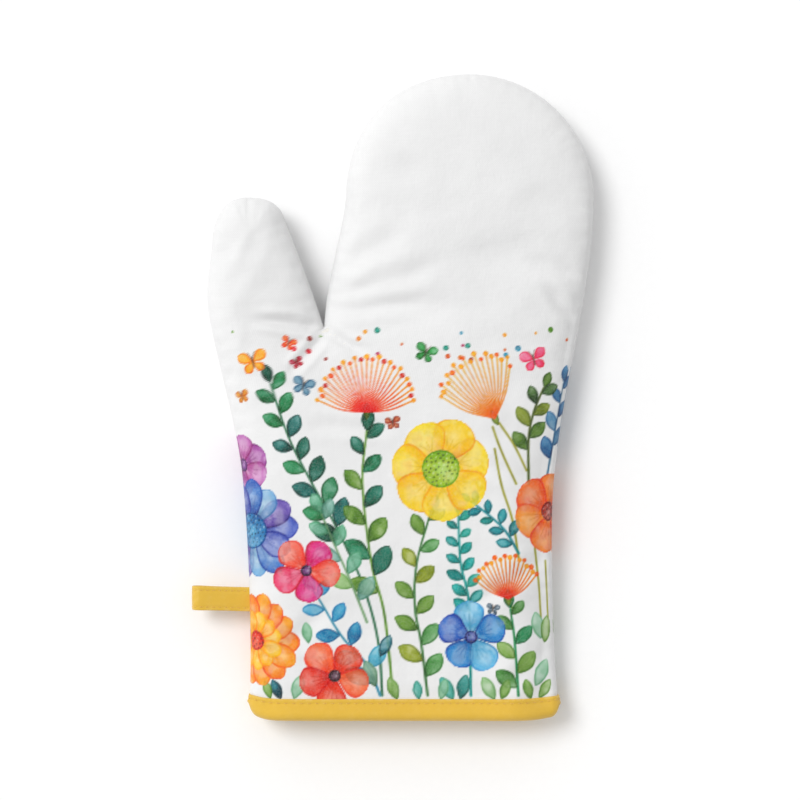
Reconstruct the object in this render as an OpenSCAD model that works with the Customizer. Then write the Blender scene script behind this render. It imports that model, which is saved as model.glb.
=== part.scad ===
// Oven mitt, lying flat: layered front and back halves, cuff binding and hanging loop.
// Millimetres. +Z up, +Y towards the fingertip. Origin at the centre of the box, at its base.
// Shapes are laid out from the middle of the cuff edge, and frame() moves them to the origin.

/* [Overall size] */
// Length from the cuff edge to the fingertip
length = 300; // [280:1:330]
// Thickness of the padded hand lying flat
thickness = 28; // [24:1:34]
// Thickness of the layers at the cuff, without the binding
cuff_thickness = 22; // [20:1:26]
// Width of the layers at the cuff
cuff_w = 144; // [138:1:150]
// Radius of the round fingertip end
hand_r = 57.5; // [56:0.5:59]
// How far the fingertip end sits to the right of the cuff's middle
hand_x = 30.5; // [28:0.5:32]
// How much fuller than a circle the index side of the fingertip is
tip_fullness = 0.028; // [0:0.004:0.04]
// In-plane width of the rounded edge, from the side seam to the flat face
edge_w = 26; // [22:1:30]

/* [Fabric layers] */
// Outer cotton cover
cover_t = 1; // [0.8:0.1:1.2]
// Padding between cover and lining
padding_t = 4.2; // [3.4:0.2:5]
// Inner cotton lining
lining_t = 0.6; // [0.5:0.1:0.8]
// Half height of the pressed layers at the side seam
seam_half = 2; // [1.8:0.1:2.4]

/* [Cuff binding] */
// Width of the binding band seen from outside
binding_w = 10.2; // [8:0.1:14]
// Thickness of the folded binding tape
binding_t = 1; // [0.8:0.1:1.2]
// Distance between stitches
stitch_pitch = 3.6; // [3:0.2:5]

/* [Hanging loop] */
// Distance from the cuff edge to the middle of the loop
loop_y = 56; // [45:1:80]
// Width of the tape
loop_w = 11.2; // [9:0.2:14]
// Reach from the side seam to the folded end
loop_len = 27; // [24:1:34]
// Thickness of the folded tape
tape_t = 1.2; // [1:0.1:1.4]
// Free gap inside the folded end
loop_gap = 6; // [5:0.2:6.4]

/* [Folds] */
// Distance from the cuff edge to the finger fold line
finger_fold_y = 186; // [185:1:190]
// Distance from the cuff edge to where the thumb fold meets the left seam
thumb_fold_y = 149; // [146:1:152]

/* [Hidden] */

fold_gap = 0.25;      // half the gap between bodies at a fold line
layer_gap = 0.04;     // air between neighbouring layers
tip_trim = 0.5;       // how much of each round tip is cut square
edge_power = 2.3;     // squareness of the rounded edge
pivot_out = 2.6;      // loop pivot to side seam
loop_join = 4.2;      // loop pivot to where the two sides of the tape part
loop_rows = 5;        // stitches along each edge of the loop
stitch_share = 0.62;  // share of the stitch distance that the thread lies on top
thread_r = 0.25;      // radius of the sewing thread
thread_out = 0.4;     // thread centre line to side seam
tape_edge = 1.7;      // edge of a tape to its row of stitches
thread_gap = 0.1;     // air between a stitch and the tape below it
tape_gap = 0.1;       // air between the binding and the cover
binding_lift = 1.9;   // the cuff layers lie this much above the ground, for the binding below them
mouth_column = 2;     // the grid column where the binding turns inside the mouth
white = [0.95, 0.95, 0.94];
padding_white = [0.88, 0.87, 0.84];
yellow = [0.93, 0.72, 0.24];

// ---- Curves ----
function bezier(p, t) = pow(1 - t, 3) * p[0] + 3 * t * pow(1 - t, 2) * p[1]
    + 3 * t * t * (1 - t) * p[2] + t * t * t * p[3];
function curve(p, n = 8) = [for (i = [1:n]) bezier(p, i / n)];
function arc(c, r, a0, a1, n, full = 0) = [for (i = [1:n]) let (a = a0 + (a1 - a0) * i / n)
    c + r * (1 + full * pow(sin(2 * a), 2)) * [cos(a), sin(a)]];
function reversed(v) = [for (i = [len(v) - 1:-1:0]) v[i]];

// ---- Outline of the mitt, as four side seams that each run from low to high ----
crotch = [-37.2, 182];
thumb_top = [-73, 242.8];
hand_c = [hand_x, length - hand_r + tip_trim];
waist = [cuff_w / 2 - 3.2, 95];
right_cuff = [cuff_w / 2, 0];
left_cuff = [-cuff_w / 2, 0];

right_seam = concat([right_cuff],
    curve([right_cuff, waist + [0.7, -60], waist + [-0.5, -30], waist]),
    curve([waist, waist + [0.8, 50], hand_c + [hand_r, -47], hand_c + [hand_r, 0]], 12),
    arc(hand_c, hand_r, 0, 90, 14));
hand_left_seam = concat([crotch],
    reversed(curve([hand_c - [hand_r, 0], [-28.5, 226], [-36, 206], crotch], 8)),
    arc(hand_c, hand_r, 180, 90, 14, tip_fullness));
left_seam = concat([left_cuff],
    curve([left_cuff, [-70.6, 40], [-72.4, 85], [-75.1, 112.6]]),
    curve([[-75.1, 112.6], [-77.5, 138], [-90.5, 178], [-91.6, 195]]),
    curve([[-91.6, 195], [-91.8, 205], [-89.8, 214], [-89.3, 222]], 4),
    curve([[-89.3, 222], [-88.5, 236], [-82, 242.8], thumb_top]));
thumb_right_seam = concat([crotch],
    curve([crotch, [-43, 200], [-51, 222], [-57, 236]]),
    curve([[-57, 236], [-60, 241], [-65, 242.8], thumb_top]));
seams = [right_seam, hand_left_seam, left_seam, thumb_right_seam];

function x_on(seam, y) = lookup(y, [for (p = seam) [p.y, p.x]]);
function to_segment(p, a, b) = let (t = max(0, min(1, (p - a) * (b - a) / max(1e-9, (b - a) * (b - a)))))
    norm(p - a - t * (b - a));
function to_seam(p) = min([for (s = seams) for (i = [0:len(s) - 2]) to_segment(p, s[i], s[i + 1])]);

// ---- Thickness ----
function smooth(a, b, v) = let (t = max(0, min(1, (v - a) / (b - a)))) t * t * (3 - 2 * t);
function half_at(y) = (cuff_thickness + (thickness - cuff_thickness) * smooth(0, 100, y)) / 2;
function lift_at(y) = binding_lift * (1 - smooth(8, 30, y));
function middle_at(y) = half_at(y) + lift_at(y);
function crown(p) = let (d = min(1, to_seam(p) / edge_w))
    half_at(p.y) * pow(1 - pow(1 - d, edge_power), 1 / edge_power);

// Depth of the layer boundaries below the cover, and their least height at the side seam
depth = [0, cover_t, cover_t + padding_t, cover_t + padding_t + lining_t];
least = [seam_half, 0.75 * seam_half, 0.25 * seam_half, 0.05];
function level(c, k) = max(least[k], c - depth[k]);

// ---- Planform of the three bodies, row by row ----
fold_left = [x_on(left_seam, thumb_fold_y), thumb_fold_y];
fold_dir = (crotch - fold_left) / norm(crotch - fold_left);
fold_dx = fold_gap / fold_dir.y;
function fold_x(y) = fold_left.x + (y - thumb_fold_y) * fold_dir.x / fold_dir.y;

function steps(a, b, n) = [for (i = [0:n]) a + (b - a) * i / n];
function eased(a, b, n) = [for (i = [0:n]) a + (b - a) * sin(90 * i / n)];
finger_rows = eased(finger_fold_y + fold_gap, length, 12);
thumb_rows = concat(steps(thumb_fold_y + 1.5, crotch.y, 5), eased(crotch.y + 6, thumb_top.y - tip_trim, 7));
palm_rows = concat([binding_t], steps(binding_w, thumb_fold_y, 9), steps(thumb_fold_y + 8, crotch.y, 3),
    [finger_fold_y - fold_gap]);

function palm_edges(y) = [
    y <= thumb_fold_y ? x_on(left_seam, y)
        : y <= crotch.y ? fold_x(y) + fold_dx : x_on(hand_left_seam, y) + fold_dx,
    x_on(right_seam, y)];
function finger_edges(y) = [x_on(hand_left_seam, y), x_on(right_seam, y)];
function thumb_edges(y) = [x_on(left_seam, y), y <= crotch.y ? fold_x(y) - fold_dx : x_on(thumb_right_seam, y)];
columns = 12;
function across(e) = [for (i = [0:columns]) e[0] + (e[1] - e[0]) * (1 - cos(180 * i / columns)) / 2];
palm_grid = [for (y = palm_rows) [for (x = across(palm_edges(y))) [x, y]]];
finger_grid = [for (y = finger_rows) [for (x = across(finger_edges(y))) [x, y]]];
thumb_grid = [for (y = thumb_rows) [for (x = across(thumb_edges(y))) [x, y]]];

// One layer of one half of one body: a curved sheet between layer boundaries k and k + 1
module layer(grid, side, k) {
    rows = len(grid);
    w = columns + 1;
    count = rows * w;
    crowns = [for (row = grid) [for (p = row) crown(p)]];
    function sheet(s, gap) = [for (j = [0:rows - 1]) for (i = [0:w - 1]) let (p = grid[j][i])
        [p.x, p.y, middle_at(p.y) + side * (level(crowns[j][i], s) - gap)]];
    function quad(a, b, c, d) = side > 0 ? [[a, c, b], [a, d, c]] : [[a, b, c], [a, c, d]];
    rim = concat([for (i = [0:w - 1]) i], [for (j = [1:rows - 1]) j * w + w - 1],
        [for (i = [w - 2:-1:0]) (rows - 1) * w + i], [for (j = [rows - 2:-1:1]) j * w]);
    faces = concat(
        [for (j = [0:rows - 2]) for (i = [0:w - 2]) let (a = j * w + i)
            for (f = quad(a, a + 1, a + w + 1, a + w)) f],
        [for (j = [0:rows - 2]) for (i = [0:w - 2]) let (a = count + j * w + i)
            for (f = quad(a, a + w, a + w + 1, a + 1)) f],
        [for (n = [0:len(rim) - 1]) let (a = rim[n], b = rim[(n + 1) % len(rim)])
            for (f = quad(a, count + a, count + b, b)) f]);
    polyhedron(concat(sheet(k, 0), sheet(k + 1, -layer_gap)), faces, convexity = 6);
}

// A thread along a run of points on the side seam
module thread(points, sides = 6) {
    n = len(points);
    function along(i) = let (v = points[min(n - 1, i + 1)] - points[max(0, i - 1)]) v / norm(v);
    rings = [for (i = [0:n - 1]) let (t = along(i), out = [t.y, -t.x],
            c = points[i] + out * thread_out) for (s = [0:sides - 1]) let (a = 360 * s / sides)
        [c.x + out.x * thread_r * cos(a), c.y + out.y * thread_r * cos(a),
            middle_at(points[i].y) + thread_r * sin(a)]];
    walls = [for (i = [0:n - 2]) for (s = [0:sides - 1]) let (a = i * sides + s,
            b = i * sides + (s + 1) % sides) for (f = [[a, a + sides, b + sides], [a, b + sides, b]]) f];
    polyhedron(rings, concat([[for (s = [0:sides - 1]) s]], walls,
        [[for (s = [sides - 1:-1:0]) (n - 1) * sides + s]]), convexity = 6);
}
function between(seam, y0, y1) = concat([[x_on(seam, y0), y0]],
    [for (p = seam) if (p.y > y0 + 0.6 && p.y < y1 - 0.6) p], [[x_on(seam, y1), y1]]);

// ---- Cuff binding: one tape folded round the edge of the mouth ----
// A loop in the plane at height y along the mitt. grow moves it out of the cover, or into the lining.
// Inside the mouth it keeps to the middle columns, and closes with an upright end at each side.
function mouth_loop(y, grow, inside) = let (
        row = across(palm_edges(y)),
        first = inside ? mouth_column : 0,
        half = [for (i = [0:columns]) let (
                k = min(columns - first, max(first, i)),
                past = abs(i - k),
                high = level(crown([row[k], y]), inside ? 3 : 0) + grow,
                out = k == first ? -grow : k == columns - first ? grow : 0)
            [row[k] + out, y, high * (1 - past / (first + 0.5))]])
    concat([for (p = half) [p.x, y, middle_at(y) + p.z]],
        [for (p = reversed(half)) [p.x, y, middle_at(y) - p.z]]);
module ring_of_loops(loops) {
    m = len(loops);
    n = len(loops[0]);
    points = [for (l = loops) for (p = l) p];
    faces = [for (k = [0:m - 1]) for (i = [0:n - 1]) let (a = k * n + i, b = k * n + (i + 1) % n,
            c = ((k + 1) % m) * n + (i + 1) % n, d = ((k + 1) % m) * n + i)
        for (f = [[a, b, c], [a, c, d]]) f];
    polyhedron(points, faces, convexity = 8);
}
module cuff_binding() {
    near = tape_gap;
    far = near + binding_t;
    color(yellow) ring_of_loops([
        mouth_loop(0, far, false), mouth_loop(binding_w, far, false),
        mouth_loop(binding_w, near, false), mouth_loop(binding_t - layer_gap, near, false),
        mouth_loop(binding_t - layer_gap, -near, true), mouth_loop(binding_w, -near, true),
        mouth_loop(binding_w, -far, true), mouth_loop(0, -far, true)]);
}
module stitch(at, slope) {
    translate(at) rotate([0, 90 - slope, 0])
        cylinder(r = thread_r, h = stitch_pitch * stitch_share, center = true, $fn = 16);
}
module binding_stitches() {
    y = binding_w - tape_edge;
    top = tape_gap + binding_t + thread_r + thread_gap;
    reach = cuff_w / 2 - 10;
    n = floor(reach / stitch_pitch);
    color(yellow) for (side = [-1, 1]) for (i = [-n:n]) let (
            x = i * stitch_pitch,
            slope = side * atan((crown([x + 1, y]) - crown([x - 1, y])) / 2))
        stitch([x, y, middle_at(y) + side * (crown([x, y]) + top)], slope);
}

// ---- Hanging loop: a folded tape that turns at the side seam ----
loop_root = [x_on(left_seam, loop_y) - pivot_out, middle_at(loop_y)];
root_r = tape_t + 0.1;
end_r = tape_t + loop_gap / 2;
end_x = pivot_out + end_r - loop_len;
lean = asin((root_r - end_r) / end_x);
module loop_profile() {
    difference() {
        polygon(concat(
            [for (i = [0:8]) let (a = -90 - lean + (180 + 2 * lean) * i / 8) root_r * [cos(a), sin(a)]],
            [for (i = [0:14]) let (a = 90 + lean + (180 - 2 * lean) * i / 14) [end_x, 0] + end_r * [cos(a), sin(a)]]));
        polygon(concat([[-loop_join, 0]],
            [for (i = [0:14]) let (a = 90 + lean + (180 - 2 * lean) * i / 14)
                [end_x, 0] + (end_r - tape_t) * [cos(a), sin(a)]]));
    }
}
module hanging_loop() {
    color(yellow) translate([loop_root.x, loop_y + loop_w / 2, loop_root.y]) rotate([90, 0, 0])
        linear_extrude(height = loop_w) loop_profile();
}
module loop_stitches() {
    color(yellow) for (side = [-1, 1]) for (i = [1:loop_rows]) let (
            run = i * stitch_pitch,
            lay = root_r + thread_r + thread_gap)
        stitch([loop_root.x - run * cos(lean) - lay * sin(lean), loop_y + side * (loop_w / 2 - tape_edge),
            loop_root.y + run * sin(lean) + lay * cos(lean)], -lean);
}

// ---- Threads of the side seam, in the body that each stretch belongs to ----
module side_seam_thread() {
    color(white) thread(reversed(between(left_seam, binding_w + 2, thumb_fold_y - 1)));
    color(white) thread(between(right_seam, binding_w + 2, finger_fold_y - 1));
}
module finger_seam_thread() {
    color(white) thread(between(right_seam, finger_fold_y + 1, length - 1));
    color(white) thread(reversed(between(hand_left_seam, finger_fold_y + 1, length - 1)));
}
module thumb_seam_thread() {
    color(white) thread(between(thumb_right_seam, crotch.y + 6, thumb_top.y - 0.8));
    color(white) thread(reversed(between(left_seam, thumb_fold_y + 3, thumb_top.y - 0.8)));
}

// ---- The fabric layers ----
module palm_front_cover() { color(white) layer(palm_grid, 1, 0); }
module palm_front_padding() { color(padding_white) layer(palm_grid, 1, 1); }
module palm_front_lining() { color(white) layer(palm_grid, 1, 2); }
module palm_back_cover() { color(white) layer(palm_grid, -1, 0); }
module palm_back_padding() { color(padding_white) layer(palm_grid, -1, 1); }
module palm_back_lining() { color(white) layer(palm_grid, -1, 2); }
module finger_front_cover() { color(white) layer(finger_grid, 1, 0); }
module finger_front_padding() { color(padding_white) layer(finger_grid, 1, 1); }
module finger_front_lining() { color(white) layer(finger_grid, 1, 2); }
module finger_back_cover() { color(white) layer(finger_grid, -1, 0); }
module finger_back_padding() { color(padding_white) layer(finger_grid, -1, 1); }
module finger_back_lining() { color(white) layer(finger_grid, -1, 2); }
module thumb_front_cover() { color(white) layer(thumb_grid, 1, 0); }
module thumb_front_padding() { color(padding_white) layer(thumb_grid, 1, 1); }
module thumb_front_lining() { color(white) layer(thumb_grid, 1, 2); }
module thumb_back_cover() { color(white) layer(thumb_grid, -1, 0); }
module thumb_back_padding() { color(padding_white) layer(thumb_grid, -1, 1); }
module thumb_back_lining() { color(white) layer(thumb_grid, -1, 2); }

// The box runs from the folded end of the loop to the widest point of the hand with its thread
box_left = x_on(left_seam, loop_y) - loop_len;
box_right = hand_c.x + hand_r + thread_out + thread_r;
box_top = length;
module frame() { translate([-(box_left + box_right) / 2, -box_top / 2, 0]) children(); }

frame() palm_front_cover();
frame() palm_front_padding();
frame() palm_front_lining();
frame() palm_back_cover();
frame() palm_back_padding();
frame() palm_back_lining();
frame() cuff_binding();
frame() binding_stitches();
frame() side_seam_thread();
frame() finger_front_cover();
frame() finger_front_padding();
frame() finger_front_lining();
frame() finger_back_cover();
frame() finger_back_padding();
frame() finger_back_lining();
frame() finger_seam_thread();
frame() thumb_front_cover();
frame() thumb_front_padding();
frame() thumb_front_lining();
frame() thumb_back_cover();
frame() thumb_back_padding();
frame() thumb_back_lining();
frame() thumb_seam_thread();
frame() hanging_loop();
frame() loop_stitches();
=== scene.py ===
"""Oven mitt: padded white cotton with a watercolour print, a bound cuff and a hanging loop."""

import math

import bmesh
import bpy
import numpy as np
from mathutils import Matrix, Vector
from mathutils.bvhtree import BVHTree
from mathutils.geometry import delaunay_2d_cdt


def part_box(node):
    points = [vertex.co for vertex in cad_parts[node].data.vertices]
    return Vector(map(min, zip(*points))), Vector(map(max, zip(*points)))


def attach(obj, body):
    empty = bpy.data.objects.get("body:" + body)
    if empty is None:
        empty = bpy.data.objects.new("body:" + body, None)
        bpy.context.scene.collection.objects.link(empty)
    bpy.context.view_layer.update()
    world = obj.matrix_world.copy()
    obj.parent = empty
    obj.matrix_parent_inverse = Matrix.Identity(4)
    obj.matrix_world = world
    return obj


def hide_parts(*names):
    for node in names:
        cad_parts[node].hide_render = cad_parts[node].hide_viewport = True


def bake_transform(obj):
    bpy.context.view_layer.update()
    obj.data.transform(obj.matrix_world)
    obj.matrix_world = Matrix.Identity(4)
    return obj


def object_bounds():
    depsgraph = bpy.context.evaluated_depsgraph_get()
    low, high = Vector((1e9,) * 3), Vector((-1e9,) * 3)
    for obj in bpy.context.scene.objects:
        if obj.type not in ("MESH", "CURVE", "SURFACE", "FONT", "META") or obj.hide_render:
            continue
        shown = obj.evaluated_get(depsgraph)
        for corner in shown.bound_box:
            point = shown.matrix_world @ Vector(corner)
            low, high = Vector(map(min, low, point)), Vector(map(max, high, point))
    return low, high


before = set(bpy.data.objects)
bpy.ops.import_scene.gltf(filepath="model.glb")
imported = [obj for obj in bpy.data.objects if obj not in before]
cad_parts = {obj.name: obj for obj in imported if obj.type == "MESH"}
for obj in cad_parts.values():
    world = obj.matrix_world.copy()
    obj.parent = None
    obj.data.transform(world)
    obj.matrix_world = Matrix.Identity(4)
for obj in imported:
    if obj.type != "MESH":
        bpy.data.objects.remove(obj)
cad_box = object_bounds()
scene = bpy.context.scene

# ---- Sizes, in millimetres. Shapes are laid out from the middle of the cuff's edge. ----
MM = 0.001
cuff_lo, cuff_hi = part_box("cuff_binding")
SHIFT_X = (cuff_lo[0] + cuff_hi[0]) / 2 / MM
SHIFT_Y = cad_box[0][1] / MM
LENGTH = (cad_box[1][1] - cad_box[0][1]) / MM
THICK = (cad_box[1][2] - cad_box[0][2]) / MM
CUFF_W, CUFF_THICK, CUFF_LIFT = 144.0, 22.0, 1.9
CUFF_END = CUFF_W / 2
BINDING_W = 10.2
HEM_Y = BINDING_W - 1.9
LOOP_Y = 56.0
HAND_R, TIP_FULLNESS = 57.5, 0.028
HAND_C = np.array((30.5, LENGTH - HAND_R))
CROTCH = np.array((-37.2, 182.0))
THUMB_TOP = np.array((-73.0, 242.8))
FINGER_CUT, THUMB_CUT = 183.0, 149.0
EDGE_W, EDGE_POWER = 26.0, 2.3
SEAM_HALF = 2.0
COVER, PADDING, LINING = 1.0, 4.2, 0.6
WALL = COVER + PADDING + LINING


def link(name, data):
    """A new object in the scene."""
    obj = bpy.data.objects.new(name, data)
    scene.collection.objects.link(obj)
    return obj


# ---- Curves of the outline: four side seams, each running up from low to high ----
def bezier(a, b, c, d, n=20):
    """Points on a cubic curve from a to d, without a."""
    t = np.linspace(0, 1, n + 1)[1:, None]
    a, b, c, d = (np.array(v, float) for v in (a, b, c, d))
    return a * (1 - t) ** 3 + 3 * b * t * (1 - t) ** 2 + 3 * c * t * t * (1 - t) + d * t ** 3


def arc(centre, r, a0, a1, n=40, full=0.0):
    """An arc from a0 to a1 degrees, bulging by the share full half way round each quarter."""
    a = np.radians(np.linspace(a0, a1, n + 1)[1:])
    reach = r * (1 + full * np.sin(2 * a) ** 2)
    return centre + reach[:, None] * np.stack([np.cos(a), np.sin(a)], 1)


WAIST = np.array((CUFF_END - 3.2, 95.0))
RIGHT = np.vstack([
    [(CUFF_END, 0)],
    bezier((CUFF_END, 0), WAIST + (0.7, -60), WAIST + (-0.5, -30), WAIST),
    bezier(WAIST, WAIST + (0.8, 50), HAND_C + (HAND_R, -47), HAND_C + (HAND_R, 0), 30),
    arc(HAND_C, HAND_R, 0, 90),
])
HAND_LEFT = np.vstack([
    [CROTCH],
    bezier(HAND_C - (HAND_R, 0), (-28.5, 226), (-36, 206), CROTCH)[::-1][1:],
    [HAND_C - (HAND_R, 0)],
    arc(HAND_C, HAND_R, 180, 90, full=TIP_FULLNESS),
])
LEFT = np.vstack([
    [(-CUFF_END, 0)],
    bezier((-CUFF_END, 0), (-70.6, 40), (-72.4, 85), (-75.1, 112.6)),
    bezier((-75.1, 112.6), (-77.5, 138), (-90.5, 178), (-91.6, 195)),
    bezier((-91.6, 195), (-91.8, 205), (-89.8, 214), (-89.3, 222), 10),
    bezier((-89.3, 222), (-88.5, 236), (-82, 242.8), THUMB_TOP),
])
THUMB_RIGHT = np.vstack([
    [CROTCH],
    bezier(CROTCH, (-43, 200), (-51, 222), (-57, 236)),
    bezier((-57, 236), (-60, 241), (-65, 242.8), THUMB_TOP),
])
SEAMS = [RIGHT, HAND_LEFT, LEFT, THUMB_RIGHT]


def x_on(seam, y):
    return np.interp(y, seam[:, 1], seam[:, 0])


def lengths(points):
    """How far along a run each of its points lies."""
    return np.concatenate([[0], np.cumsum(np.linalg.norm(np.diff(points, axis=0), axis=1))])


def at_length(points, s, at):
    """The place on a run whose points lie at lengths s, for one length or many."""
    return np.stack([np.interp(at, s, column) for column in points.T], -1)


def normals(run):
    """The unit vectors to the right of a run in the plane."""
    along = np.gradient(run, axis=0)
    along /= np.hypot(*along.T)[:, None]
    return np.stack([along[:, 1], -along[:, 0]], 1)


# the thumb's pieces part from the palm's on a line from FOLD_A to the crotch
FOLD_A = np.array((float(x_on(LEFT, THUMB_CUT)), THUMB_CUT))
FOLD_DIR = (CROTCH - FOLD_A) / np.hypot(*(CROTCH - FOLD_A))


def fold_x(y):
    return FOLD_A[0] + (y - THUMB_CUT) * FOLD_DIR[0] / FOLD_DIR[1]


def nearest_seam(x, y):
    """Distance to the side seams, rounded where two are equally near, the place along the nearest one,
    and the way to it."""
    total = np.zeros(len(x))
    nearest, place, way = np.full(len(x), 1e9), np.zeros(len(x)), np.zeros((len(x), 2))
    start = 0.0
    for seam in SEAMS:
        best = np.full(len(x), 1e9)
        for a, b in zip(seam[:-1], seam[1:]):
            d = b - a
            long = math.hypot(*d)
            t = np.clip(((x - a[0]) * d[0] + (y - a[1]) * d[1]) / max(long * long, 1e-9), 0, 1)
            to = np.stack([a[0] + t * d[0] - x, a[1] + t * d[1] - y], 1)
            gap = np.hypot(to[:, 0], to[:, 1])
            np.minimum(best, gap, out=best)
            closer = gap < nearest
            nearest[closer], place[closer], way[closer] = gap[closer], (start + t * long)[closer], to[closer]
            start += long
        total += np.maximum(best, 1e-3) ** -5.0
    return np.minimum(total ** -0.2, nearest), place, way / np.maximum(nearest, 1e-3)[:, None]


def seam_distance(x, y):
    return nearest_seam(x, y)[0]


def smooth(a, b, v):
    """A soft step from 0 at a to 1 at b."""
    t = np.clip((v - a) / (b - a), 0, 1)
    return t * t * (3 - 2 * t)


def half_at(y):
    return (CUFF_THICK + (THICK - CUFF_THICK) * smooth(0, 100, y)) / 2


def middle_at(y):
    """Height of the middle plane, lifted at the cuff by the binding below it."""
    return half_at(y) + CUFF_LIFT * (1 - smooth(8, 30, y))


# How much longer the cloth is than its shadow, from the top of the crown to each distance from the seam
SLOPE_AT = np.linspace(EDGE_W, 0, 600)
SLOPE_Z = THICK / 2 * (1 - (1 - SLOPE_AT / EDGE_W) ** EDGE_POWER) ** (1 / EDGE_POWER)
SLOPE_EXTRA = np.cumsum(np.hypot(np.gradient(SLOPE_AT), np.gradient(SLOPE_Z)) - abs(np.gradient(SLOPE_AT)))
STEEP_EXTRA = 4.5


def print_place(x, y):
    """Where points of the cloth lie on the flat printed cloth, in millimetres, in the frame's X and Y."""
    d, _, way = nearest_seam(x, y)
    extra = np.minimum(np.interp(-d, -SLOPE_AT, SLOPE_EXTRA), STEEP_EXTRA)
    return x + SHIFT_X + way[:, 0] * extra, y + SHIFT_Y + way[:, 1] * extra


# ---- The print: a plain watercolour meadow, painted point by point from simple shapes ----
# X and Y are in millimetres from the middle of the mitt, as in the frame.
NOISE_TABLE = np.random.default_rng(11).random((97, 89))
NOISE_START = (31.7, 57.3)
GOLDEN_ANGLE = 2.399963
VIVID = 1.18


def noise2(x, y, size, shift=0.0):
    """Smooth value noise from 0 to 1, with features about size millimetres across."""
    u, v = x / size + NOISE_START[0] + shift, y / size + NOISE_START[1] - shift
    iu, iv = np.floor(u).astype(int), np.floor(v).astype(int)
    fu, fv = smooth(0, 1, u - iu), smooth(0, 1, v - iv)
    rows, columns = NOISE_TABLE.shape

    def between(j):
        left = NOISE_TABLE[iu % rows, (iv + j) % columns]
        return left * (1 - fu) + NOISE_TABLE[(iu + 1) % rows, (iv + j) % columns] * fu

    return between(0) * (1 - fv) + between(1) * fv


def colour(hexa):
    return np.array([int(hexa[i:i + 2], 16) for i in (0, 2, 4)]) / 255


def colours(words):
    return [colour(word) for word in words.split()]


def linear(rgb):
    """From display values to light."""
    return np.where(rgb <= 0.04045, rgb / 12.92, ((rgb + 0.055) / 1.055) ** 2.4)


def polar(degrees, r=1.0):
    return r * np.array((math.cos(math.radians(degrees)), math.sin(math.radians(degrees))))


def across(v):
    """The direction at right angles to v, to its left."""
    return np.array((-v[1], v[0]))


def paler(ink, share):
    return 1 - (1 - ink) * share


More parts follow.
